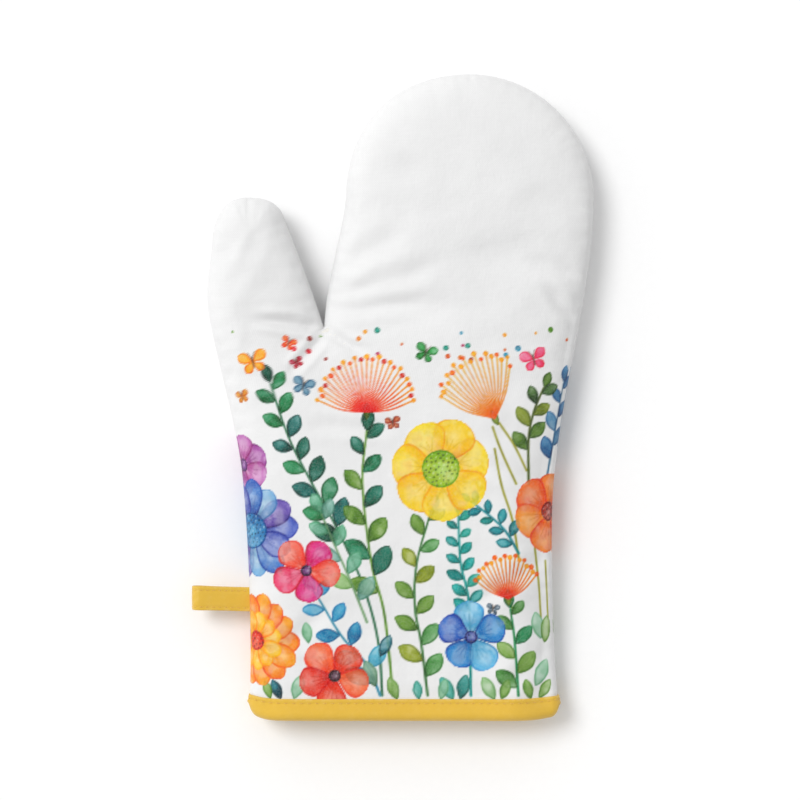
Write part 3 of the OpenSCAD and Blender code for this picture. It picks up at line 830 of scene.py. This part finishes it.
def closed_sheet(name, part, side, size, top, base, coarse=1, printed=False, inset=0.0):
    """A closed sheet of cloth between two layer boundaries, each given as (depth, least height).
    The hidden face has fewer points."""
    x, y = plan(part, *size)
    if inset:
        x, y = drawn_in(x, y, inset)

    def both(grid):
        """A grid's values for the points of the outer face and then for those of the hidden one."""
        return np.concatenate([grid.ravel(), grid[::coarse, ::coarse].ravel()])

    outer = skin(x.ravel(), y.ravel(), side, *top)
    inner = skin(x[::coarse, ::coarse].ravel(), y[::coarse, ::coarse].ravel(), side, *base)
    upper = np.arange(x.size).reshape(x.shape)
    under = x.size + np.arange(len(inner)).reshape(x[::coarse, ::coarse].shape)
    faces = np.vstack([quads(upper), quads(under)[:, [0, 3, 2, 1]]])[:, ::side].tolist()
    for run, run_under in zip(borders(upper), borders(under)):
        for k, pair in enumerate(zip(run_under[1:], run_under)):
            faces.append((run[k * coarse:(k + 1) * coarse + 1] + list(pair))[::-side])
    step = np.zeros_like(x)
    step[:, 1:] = np.cumsum(np.linalg.norm(np.diff(outer.reshape(*x.shape, 3), axis=1), axis=2), 1) / MM
    step -= step[:, x.shape[1] // 2, None]
    obj = new_piece(name, np.vstack([outer, inner]), faces, both(step), both(y))
    if printed:
        attach_print(obj, both(x), both(y))
    return obj


def tubes(name, runs, u, v, closed=False, sharp=55):
    """Skins over runs of rings, each run an array of rings by points by 3. Closed runs are joined to
    their start, and the others get a face at both ends."""
    faces, start = [], 0
    for rings in runs:
        grid = start + np.arange(rings[..., 0].size).reshape(rings.shape[:2])
        faces += quads(np.pad(grid, ((0, int(closed)), (0, 1)), "wrap")).tolist()
        if not closed:
            faces += [grid[0, ::-1].tolist(), grid[-1].tolist()]
        start += grid.size
    obj = new_piece(name, np.vstack([rings.reshape(-1, 3) for rings in runs]), faces, u, v, sharp)
    bm = bmesh.new()
    bm.from_mesh(obj.data)
    bmesh.ops.recalc_face_normals(bm, faces=bm.faces)
    bm.to_mesh(obj.data)
    bm.free()
    return obj


def stitches(name, spots, long, radius, sides=8):
    """Short sewn stitches. Each spot is (middle, along, out): the thread dips into the cloth at both ends."""
    s = np.linspace(-1, 1, 7)[:, None]
    lift, r = radius * (1 - 2.4 * abs(s) ** 3), radius * (1 - 0.35 * s ** 4)
    turn = 2 * math.pi * np.arange(sides)[:, None] / sides
    runs = []
    for middle, along, out in spots:
        along, out = along / np.linalg.norm(along), out / np.linalg.norm(out)
        centre = middle + (along * s * long / 2 + out * lift) * MM
        ring = np.cross(along, out) * np.cos(turn) + out * np.sin(turn)
        runs.append(centre[:, None] + ring * r[:, None] * MM)
    u = np.tile(np.repeat(s * long / 2, sides), len(runs))
    return tubes(name, runs, u, np.tile(turn.ravel() * radius, len(s) * len(runs)))


# ---- Materials ----
class Nodes:
    """A short way to write the node tree of a material or a world."""

    def __init__(self, owner):
        self.owner = owner
        owner.use_nodes = True
        self.tree = owner.node_tree
        self.tree.nodes.clear()
        self.place = self.add("TexCoord").outputs["Object"]

    def add(self, kind, inputs=None, **settings):
        node = self.tree.nodes.new("ShaderNode" + kind)
        for key, value in settings.items():
            setattr(node, key, value)
        for key, value in (inputs or {}).items():
            socket = node.inputs[key]
            if isinstance(value, bpy.types.NodeSocket):
                self.tree.links.new(value, socket)
            else:
                socket.default_value = value
        return node

    def math(self, op, a, b=0.0):
        return self.add("Math", {0: a, 1: b}, operation=op).outputs[0]

    def times(self, a, b):
        return self.math("MULTIPLY", a, b)

    def plus(self, a, b):
        return self.math("ADD", a, b)

    def mix(self, fac, a, b, blend="MIX"):
        return self.add("Mix", {0: fac, 6: a, 7: b}, data_type="RGBA", blend_type=blend).outputs[2]

    def noise(self, vector, scale, detail=3.0, rough=0.55):
        inputs = {"Vector": vector, "Scale": scale, "Detail": detail, "Roughness": rough}
        return self.add("TexNoise", inputs).outputs[0]

    def remap(self, value, lo, hi, to_lo=0.0, to_hi=1.0):
        return self.add("MapRange", {0: value, 1: lo, 2: hi, 3: to_lo, 4: to_hi}).outputs[0]

    def vector(self, *parts):
        return self.add("CombineXYZ", dict(enumerate(parts))).outputs[0]

    def layer(self, name, out):
        """A value that the mesh stores for each of its points."""
        return self.add("Attribute", attribute_name=name).outputs[out]

    def bump(self, strength, distance, height, **below):
        inputs = {"Strength": strength, "Distance": distance, "Height": height, **below}
        return self.add("Bump", inputs).outputs[0]

    def surface(self, tint, rough, specular, **more):
        """Finishes the material. An underscore in a name of more stands for a space."""
        inputs = {"Base Color": tint, "Roughness": rough, "Specular IOR Level": specular}
        inputs |= {key.replace("_", " "): value for key, value in more.items()}
        self.add("OutputMaterial", {"Surface": self.add("BsdfPrincipled", inputs).outputs[0]})
        return self.owner


def new_material(name):
    return Nodes(bpy.data.materials.new(name))


def rgba(hexa):
    return (*linear(colour(hexa)).tolist(), 1.0)


def weave_nodes(n, pitch, turn):
    """Height of a plain weave and unevenness of its yarns, from the cloth's own thread coordinates,
    which are in millimetres."""
    inputs = {"Vector": n.layer("thread", "Vector"), "Angle": turn}
    turned = n.add("VectorRotate", inputs, rotation_type="Z_AXIS").outputs[0]
    u, v = n.add("SeparateXYZ", {0: turned}).outputs[:2]
    k = math.pi / pitch
    wave = n.times(n.math("SINE", n.times(u, k)), n.math("SINE", n.times(v, k)))
    stretch_u = n.vector(n.times(u, 2.2), n.times(v, 0.09))
    stretch_v = n.vector(n.times(u, 0.09), n.times(v, 2.2))
    return wave, n.plus(n.noise(stretch_u, 1.0, 2.0), n.noise(stretch_v, 1.0, 2.0))


def inked(n):
    """The print, with the grain of the paint: pale specks and darker patches where there is ink."""
    tint = n.layer("print", "Color")
    ink = n.add("SeparateColor", {0: tint}, mode="HSV").outputs[1]
    grain = n.noise(n.place, 1500.0, 2.0, 0.7)
    speck = n.times(n.remap(grain, 0.42, 0.72), n.remap(ink, 0.06, 0.6, 0.0, 0.16))
    tint = n.mix(speck, tint, n.mix(0.5, tint, rgba("fbfaf8")))
    shade = n.times(n.remap(n.noise(n.place, 420.0), 0.4, 0.7), n.remap(ink, 0.1, 0.7, 0.0, 0.1))
    return n.mix(shade, tint, (0.0, 0.0, 0.0, 1.0))


def cloth(name, base=None, pitch=0.5, turn=0.0, rough=0.86, sheen=0.2, worn=0.0, bump=0.35, fold=0.5):
    """Woven cotton: thread relief, uneven yarns, painted shade in the dips of the weave, and faint soft
    crumples, with the print if it has no base.
    """
    n = new_material(name)
    wave, slub = weave_nodes(n, pitch, turn)
    tint = inked(n) if base is None else base
    # painted shade: the colour darkens where the plain weave dips; the uneven yarns and a faint noise also
    # vary its tone
    weave_shade_and_yarn_tone = n.times(n.remap(n.plus(wave, n.times(slub, 1.6)), -0.2, 2.6, 0.93, 1.03),
                   n.remap(n.noise(n.place, 38.0, 4.0), 0.3, 0.7, 0.975, 1.015))
    tint = n.mix(1.0, tint, n.vector(weave_shade_and_yarn_tone, weave_shade_and_yarn_tone, weave_shade_and_yarn_tone), "MULTIPLY")
    if worn:
        rub = n.times(n.remap(n.noise(n.place, 260.0, 4.0, 0.65), 0.48, 0.75), worn)
        tint = n.mix(n.times(rub, n.layer("wear", "Fac")), tint, rgba("f6e2a4"))
    fine = n.bump(bump, 0.00012, n.plus(n.times(wave, 0.35), n.times(slub, 0.45)))
    folds = n.bump(fold, 0.0011, n.noise(n.place, 115.0, 4.0, 0.6), Normal=fine)
    uneven = n.remap(slub, 0.6, 1.4, rough - 0.06, min(rough + 0.06, 1.0))
    return n.surface(tint, uneven, 0.25, Sheen_Weight=sheen, Sheen_Roughness=0.5, Normal=folds)


def batting(name, base, deep):
    """Loose needled wadding."""
    n = new_material(name)
    fluff = n.noise(n.place, 700.0, 6.0, 0.75)
    tint = n.mix(n.remap(fluff, 0.35, 0.7), deep, base)
    tufts = n.bump(0.8, 0.0006, n.plus(fluff, n.noise(n.place, 90.0)))
    return n.surface(tint, n.remap(fluff, 0.3, 0.7, 0.88, 1.0), 0.15, Sheen_Weight=0.4, Normal=tufts)


def yarn(name, base, deep):
    """Two-ply sewing thread, with its twist as slanting bands: painted shade in the grooves between the
    plies, and random fuzz.
    """
    n = new_material(name)
    u, v = n.add("SeparateXYZ", {0: n.layer("thread", "Vector")}).outputs[:2]
    fuzz = n.noise(n.place, 2600.0)
    twist = n.plus(n.math("SINE", n.plus(n.times(u, 9.0), n.times(v, 4.2))), fuzz)
    # painted shade: the deep colour goes where the twist dips, in the grooves between the plies
    tint = n.mix(n.remap(twist, -0.6, 1.6), deep, base)
    rough = n.remap(fuzz, 0.3, 0.7, 0.5, 0.7)
    return n.surface(tint, rough, 0.35, Sheen_Weight=0.3, Normal=n.bump(0.6, 0.00008, twist))


PRINTED = cloth("printed_cotton", pitch=0.52)
WHITE = cloth("white_cotton_lining", rgba("f4f1ea"), pitch=0.6, rough=0.9, fold=0.6)
TAPE = cloth("yellow_bias_tape", rgba("ddb340"), pitch=0.42, turn=math.pi / 4, rough=0.8, sheen=0.3,
             worn=0.35, bump=0.5, fold=0.3)
WADDING = batting("wadding", rgba("fbf9f4"), rgba("e9e6de"))
# each thread's second colour is the painted shade in the grooves of its twist
YELLOW_YARN = yarn("yellow_thread", rgba("f3cf63"), rgba("c9922a"))
WHITE_YARN = yarn("white_thread", rgba("fbfaf6"), rgba("d6d2c8"))

# ---- The quilted layers of the hand, the fingers and the thumb ----
LOOP_ROOT = x_on(LEFT, LOOP_Y)
FINGER_BEND, THUMB_BEND, LOOP_BEND = 34, 26, (0.4, 9.0)
PAD_INSET, LINING_INSET = 2.7, 2.9
thumb_from = FOLD_A + (SHIFT_X, SHIFT_Y)
thumb_to = thumb_from + across(FOLD_DIR) * THUMB_BEND
# the body of each part that moves, and the two places between which its pieces are to bend from the hand to
# that body; only the parts' names are read here
BLENDS = {
    "finger": ("fingers", *((0, (FINGER_CUT + d + SHIFT_Y) * MM, 0) for d in (0, FINGER_BEND))),
    "thumb": ("thumb", (*(thumb_from * MM), 0), (*(thumb_to * MM), 0)),
    "loop": ("loop", *(((LOOP_ROOT - d + SHIFT_X) * MM, 0, 0) for d in LOOP_BEND)),
}


def dress(obj, material, part, node=None):
    """Gives a piece its material in a slot and hides the CAD node that it stands for. A piece of the hand
    hangs on the hand's body; a piece of a part that moves only has its place baked into its points.
    """
    obj.data.materials.append(material)
    if node:
        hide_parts(node)
    if part in BLENDS:
        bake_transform(obj)
    else:
        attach(obj, "hand")


FINE = {("palm", 1): (332, 268), ("finger", 1): (132, 120), ("thumb", 1): (168, 84),
        ("palm", -1): (232, 188), ("finger", -1): (112, 100), ("thumb", -1): (136, 64)}
COARSE = {"palm": (76, 60), "finger": (44, 48), "thumb": (44, 24)}
for part, (rows, columns) in COARSE.items():
    for side, face in ((1, "front"), (-1, "back")):
        cover = closed_sheet(f"{part}_{face}_cover_cloth", part, side, FINE[part, side],
                             (0.0, SEAM_HALF), (COVER - 0.1, 0.78 * SEAM_HALF), coarse=4, printed=True)
        dress(cover, PRINTED, part, f"{part}_{face}_cover")
        pad = closed_sheet(f"{part}_{face}_wadding", part, side, (rows, columns),
                           (COVER + 0.1, 0.7 * SEAM_HALF), (COVER + PADDING - 0.1, 0.3 * SEAM_HALF),
                           inset=PAD_INSET)
        dress(pad, WADDING, part, f"{part}_{face}_padding")
        inside = closed_sheet(f"{part}_{face}_lining_cloth", part, side, (rows * 2, columns * 2),
                              (COVER + PADDING, 0.25 * SEAM_HALF), (WALL, 0.06), coarse=2, inset=LINING_INSET)
        dress(inside, WHITE, part, f"{part}_{face}_lining")

# ---- Side seams: a turned-in groove with small stitches across it ----
SEAM_STEP, SEAM_PITCH, SEAM_TIGHT = 0.8, 2.9, 0.16
# the strip's section: how far out of the seam and how high each of its points lies
GROOVE = [(-0.35, 2.55), (-0.02, 2.0), (-0.06, 1.35), (-0.34, 0.72), (-0.85, 0.22), (-1.25, 0.0)]
GROOVE += [(o, -h) for o, h in GROOVE[-2::-1]] + [(-1.9, -2.3), (-2.4, 0.0), (-1.9, 2.3)]


def seam_run(seam, y0, y1):
    """Evenly spaced points along a seam between two heights."""
    part = seam[(seam[:, 1] > y0 + 1e-6) & (seam[:, 1] < y1 - 1e-6)]
    part = np.vstack([[(x_on(seam, y0), y0)], part, [(x_on(seam, y1), y1)]])
    s = lengths(part)
    return at_length(part, s, np.linspace(0, s[-1], max(2, int(s[-1] / SEAM_STEP)) + 1))


def seam_strip(name, part, *runs):
    """The turned-in edges of both covers along runs of seam, and the stitches in their groove."""
    section_out, section_up = np.array(GROOVE).T
    strips, us, vs, places, spots = [], [], [], [], []
    for run in runs:
        out, s = normals(run), lengths(run)
        bottom = (abs(section_up) < 1) & (section_out > -2)
        tight = SEAM_TIGHT * np.cos(2 * math.pi * s / SEAM_PITCH)[:, None] * bottom
        skin_x, skin_y = (run[:, k, None] + out[:, k, None] * (section_out - tight) for k in (0, 1))
        strips.append(place_points(skin_x, skin_y, middle_at(run[:, 1:]) + section_up))
        us.append(np.tile(section_up, len(run)))
        vs.append(np.repeat(s, len(GROOVE)))
        places.append(np.repeat(run - out * 0.1, len(GROOVE), axis=0))
        at = np.arange(1.6, s[-1] - 1.0, SEAM_PITCH)
        on_seam, away = at_length(run, s, at), at_length(out, s, at)
        x, y = (on_seam - away * 0.72).T
        for middle, (a, b) in zip(place_points(x, y, middle_at(on_seam[:, 1])), away):
            spots.append((middle, np.array((-b * 0.35, a * 0.35, 1.0)), np.array((a, b, 0.0))))
    strip = tubes(f"{name}_cloth", strips, np.concatenate(us), np.concatenate(vs))
    attach_print(strip, *np.vstack(places).T)
    dress(strip, PRINTED, part)
    thread = stitches(f"{name}_stitches", spots, long=1.5, radius=0.2, sides=6)
    dress(thread, WHITE_YARN, part, f"{name}_thread")


HAND_TIP, THUMB_TIP = LENGTH - 0.02, THUMB_TOP[1] - 0.02
seam_strip("side_seam", "palm", seam_run(LEFT, 1.0, THUMB_CUT + 0.15)[::-1], seam_run(RIGHT, 1.0, FINGER_CUT))
seam_strip("finger_seam", "finger", np.vstack([seam_run(RIGHT, FINGER_CUT, HAND_TIP),
                                               seam_run(HAND_LEFT, CROTCH[1], HAND_TIP)[::-1]]))
seam_strip("thumb_seam", "thumb", np.vstack([seam_run(THUMB_RIGHT, CROTCH[1], THUMB_TIP),
                                             seam_run(LEFT, THUMB_CUT, THUMB_TIP)[::-1]]))

# ---- Cuff binding: folded tape round the mouth ----
BINDING_PITCH = 3.6
MOUTH_END = CUFF_END - 4.8
TURN_LONG, TURN_LEAN, TURN_FAN = 9.0, math.radians(78), math.radians(12)
CORE_X, CORE_Y = 55, 9.0


def mouth_ring(n_flat=110, n_end=9):
    """Columns of samples round the mouth: x, side (1 front, -1 back, 0 at the ends), and the turn, which goes
    from 1 at the front to -1 at the back at the ends and is 0 elsewhere."""
    x = -CUFF_END * np.cos(np.linspace(0, math.pi, n_flat))
    turn = np.linspace(1, -1, n_end + 2)[1:-1]
    flat, end = np.ones(n_flat), np.ones(n_end)
    rows = ((x, CUFF_END * end, x[::-1], -CUFF_END * end), (flat, end * 0, -flat, end * 0),
            (flat * 0, turn, flat * 0, -turn))
    return [np.concatenate(row)[:, None] for row in rows]


def nose(place, full, r):
    """The tape's round edge on one side, from the flat of the tape towards the middle of the wall."""
    angles = np.radians((18, 36, 54, 70, 84))
    return [(place, full - r * (1 - math.cos(a)), r * (1 - math.sin(a))) for a in angles]


def binding_section():
    """The folded tape: whether each point lies outside (0) or inside the mouth (1), how far off the cloth
    it is, and its y. Also the number of the first point of the round edge."""
    w = BINDING_W
    outside = [(0, 0.15, w - 0.1), (0, 0.55, w + 0.08), (0, 1.0, w - 0.35), (0, 1.05, w - 1.3),
               (0, 0.86, w - 1.9), (0, 1.06, w - 2.6), (0, 1.2, w - 4.4), (0, 1.24, w - 6.4)]
    inside = [(1, 1.05, w - 6.6), (1, 1.05, w - 3.4), (1, 0.85, w - 2.2), (1, 0.95, w - 1.4),
              (1, 0.6, w - 0.9), (1, 0.15, w - 1.1), (1, 0.12, 1.6)]
    section = outside + nose(0, 1.24, 3.6) + [(0.5, 0, -0.08)] + nose(1, 1.05, 3.2)[::-1] + inside
    return np.array(section + [(0.5, 0, 1.0), (0, 0.12, 1.6)], float).T, len(outside)


def binding_piece():
    (where, off, y), hem = binding_section()
    x, side, turn = mouth_ring()
    shape = (len(x), len(y))
    deep = np.broadcast_to(np.maximum(y, 0.0), shape)
    at_end, along, out = side == 0, np.where(side == 0, turn, side), np.sign(x)
    from_end = CUFF_END - abs(x)

    def heights(px):
        """Height of the cloth's outside for each sample, on whichever half it lies."""
        flat_x, flat_y = np.broadcast_to(px, shape).ravel(), deep.ravel()
        return np.where(side >= 0, *(crown(flat_x, flat_y, half)[0].reshape(shape) for half in (1, -1)))

    # the leg outside leans outwards at the mouth's ends, where it turns to the other half
    out_x = x + (x_on(RIGHT, deep) - CUFF_END) * x / CUFF_END
    high = np.hypot(np.maximum(heights(out_x), 0), SEAM_HALF * (1 - smooth(0, TURN_LONG, from_end)))
    lean = TURN_LEAN * (1 - np.clip(from_end / TURN_LONG, 0, 1)) ** 1.6
    tilt = turn * TURN_FAN
    out_x = out_x + off * out * np.where(at_end, np.cos(tilt), np.sin(lean))
    out_z = np.where(at_end, turn * SEAM_HALF + off * np.sin(tilt), side * (high + off * np.cos(lean)))
    # the leg inside the mouth, which is round at both ends
    in_x = x / CUFF_END * MOUTH_END * np.ones_like(y)
    low = (heights(in_x) - WALL) * np.sqrt(1 - np.clip((abs(in_x) - MOUTH_END + 7) / 7.15, 0, 1) ** 2)
    in_x = in_x - np.where(at_end, off * out, 0)
    in_z = low * along - off * side
    px = out_x * (1 - where) + in_x * where
    pz = out_z * (1 - where) + in_z * where + middle_at(deep)
    # each stitch draws the tape in a little
    travelled = lengths(np.stack([px[:, hem], pz[:, hem]], 1))[:, None]
    sewn = (where == 0) & (y > BINDING_W - 3.2) & (y < BINDING_W - 1.2)
    pz = pz - 0.10 * np.cos(2 * math.pi * travelled / BINDING_PITCH) * along * sewn
    rings = place_points(px, np.broadcast_to(y, shape), pressed(pz))
    u = np.broadcast_to(travelled, shape).ravel()
    v = np.broadcast_to(np.where(where < 0.5, y, 30 - y), shape).ravel()
    tape = tubes("cuff_binding_tape", [rings], u, v, closed=True, sharp=70)
    on_edge = (off > 0.3) & ((y < 1.2) | (y > BINDING_W - 0.6))
    add_layer(tape, "wear", "FLOAT", "value", np.broadcast_to(np.where(on_edge, 1.0, 0.15), shape))
    dress(tape, TAPE, "palm", "cuff_binding")
    # stitches through the tape, in a row near its inner edge
    line = np.vstack([rings[:, 4], rings[:1, 4]])
    s = lengths(line) / MM
    count = int(s[-1] / BINDING_PITCH)
    at = (np.arange(count) + 0.5) / count * s[-1]
    middle = at_length(line, s, at)
    way = at_length(line, s, at + 0.6) - middle
    core_x = (SHIFT_X + np.clip(middle[:, 0] / MM - SHIFT_X, -CORE_X, CORE_X)) * MM
    up = middle - np.stack([core_x, middle[:, 1], np.full(count, middle_at(CORE_Y) * MM)], 1)
    up -= way * ((up * way).sum(1) / (way * way).sum(1))[:, None]
    thread = stitches("binding_stitch_thread", zip(middle, way, up), long=2.3, radius=0.2)
    dress(thread, YELLOW_YARN, "palm", "binding_stitches")


binding_piece()

# ---- Hanging loop: tape folded double, caught in the left side seam ----
LOOP_THICK, LOOP_WIDE, LOOP_LONG = 1.25, 11.2, 27.0
LOOP_PITCH, LOOP_BARE = 2.9, 4.6


def loop_path():
    """The middle of the tape in the layout's x and in height: out of the seam, round the eye, and back."""
    box_lo, box_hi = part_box("hanging_loop")
    r = (box_hi[2] - box_lo[2]) / 2 / MM - LOOP_THICK / 2 - 0.35
    end = box_lo[0] / MM - SHIFT_X + r + LOOP_THICK / 2
    neck = LOOP_ROOT + 0.6
    lean = math.asin((r - 0.7) / (LOOP_ROOT - 0.5 - end))
    t = np.linspace(0, 1, 14)[1:]
    leg = np.stack([neck + (end + r * math.sin(lean) - neck) * t,
                    0.72 + (r * math.cos(lean) - 0.72) * t + 0.22 * np.sin(math.pi * t)], 1)
    leg = np.vstack([(LOOP_ROOT + 2.2, 0.75), (neck, 0.72), leg])
    turn = np.radians(np.linspace(90, 270, 22)[1:-1])
    eye = np.stack([end + r * np.cos(turn), r * np.sin(turn)], 1)
    return np.vstack([leg, eye, leg[::-1] * (1, -1)])


def tape_section():
    """The tape's section, across and out of its middle, with the dents of both rows of stitches."""
    half, thick = LOOP_WIDE / 2, LOOP_THICK / 2
    top = [(-half + a, b) for a, b in ((0.25, 0.92), (1.2, 1), (1.6, 0.72), (2.0, 1), (3.4, 1.08))]
    top = top + [(0, 1.1)] + [(-a, b) for a, b in top[::-1]]
    edge = [(half, 0.5), (half + 0.05, 0), (half, -0.5)]
    section = top + edge + [(a, -b) for a, b in top[::-1]] + [(-a, -b) for a, b in edge]
    return np.array(section) * (1, thick)


def loop_piece():
    path = loop_path()
    across_tape, off = tape_section().T
    x, z = path[:, :1], path[:, 1:]
    out = normals(path)
    reach = (LOOP_ROOT - x) / LOOP_LONG
    narrow = 1 - 0.03 * np.sin(math.pi * np.clip(reach, 0, 1))
    y = LOOP_Y + across_tape * narrow + 0.028 * (LOOP_ROOT - x) - 0.3
    rings = place_points(x + out[:, :1] * off, y, middle_at(LOOP_Y) + z + out[:, 1:] * off)
    u, v = np.repeat(lengths(path), len(off)), np.tile(across_tape, len(path))
    tape = tubes("hanging_loop_tape", [rings], u, v, sharp=70)
    on_edge = abs(across_tape) > LOOP_WIDE / 2 - 0.4
    add_layer(tape, "wear", "FLOAT", "value", np.where(on_edge, 1.0, 0.2 + 0.5 * (reach > 0.85)))
    # two rows of stitches, in the dents of the section
    core = (rings[:, 12] + rings[:, -2]) / 2
    spots = []
    for line in (rings[:, 2], rings[:, 8]):
        s = lengths(line) / MM
        at = np.arange(LOOP_BARE, s[-1] - LOOP_BARE, LOOP_PITCH)
        middle = at_length(line, s, at)
        up = (middle - at_length(core, s, at)) * (1, 0, 1)
        spots += zip(middle, at_length(line, s, at + 0.5) - middle, up)
    thread = stitches("loop_stitch_thread", spots, long=1.9, radius=0.19)
    dress(tape, TAPE, "loop", "hanging_loop")
    dress(thread, YELLOW_YARN, "loop", "loop_stitches")


loop_piece()

# ---- Floor, light and camera ----
FLOOR = 3.0
floor_mesh = bpy.data.meshes.new("floor")
floor_mesh.from_pydata([(-FLOOR, -FLOOR, 0), (FLOOR, -FLOOR, 0), (FLOOR, FLOOR, 0), (-FLOOR, FLOOR, 0)], [],
                       [(0, 1, 2, 3)])
floor = link("floor", floor_mesh)
floor.location.z = -0.0003
n = new_material("pale_floor")
pale = n.mix(n.noise(n.place, 300.0), rgba("f8f8f8"), rgba("fbfbfb"))
floor_mesh.materials.append(n.surface(pale, 0.9, 0.1))

# a bright room, a little brighter on the left
ROOM, ROOM_LEAN = 0.68, 0.36
sky = Nodes(bpy.data.worlds.new("studio"))
scene.world = sky.owner
ahead = {0: sky.add("TexCoord").outputs["Generated"], 1: Vector((-0.85, 0.5, 0.1)).normalized()}
towards = sky.add("VectorMath", ahead, operation="DOT_PRODUCT").outputs["Value"]
strength = sky.remap(towards, -1.0, 1.0, ROOM * (1 - ROOM_LEAN), ROOM * (1 + ROOM_LEAN))
light = sky.add("Background", {"Color": (1.0, 1.0, 1.0, 1.0), "Strength": strength})
sky.add("OutputWorld", {"Surface": light.outputs[0]})

sun = bpy.data.lights.new("key", "SUN")
sun.energy = 1.45
sun.angle = math.radians(26)
key = link("key", sun)
key.rotation_euler = Vector((-0.55, 0.42, 1.0)).to_track_quat("Z", "Y").to_euler()

scene.view_settings.view_transform = "Standard"
scene.view_settings.look = "None"
SENSOR, DISTANCE = 36.0, 1.3
VIEW_W, VIEW_Z = 0.3726, 0.014
camera_data = bpy.data.cameras.new("camera")
camera_data.sensor_width = SENSOR
camera_data.lens = SENSOR * (DISTANCE - VIEW_Z) / VIEW_W
camera_data.clip_start, camera_data.clip_end = 0.01, 20.0
camera = link("camera", camera_data)
camera.location = (0.0032, -0.0014, DISTANCE)
scene.camera = camera
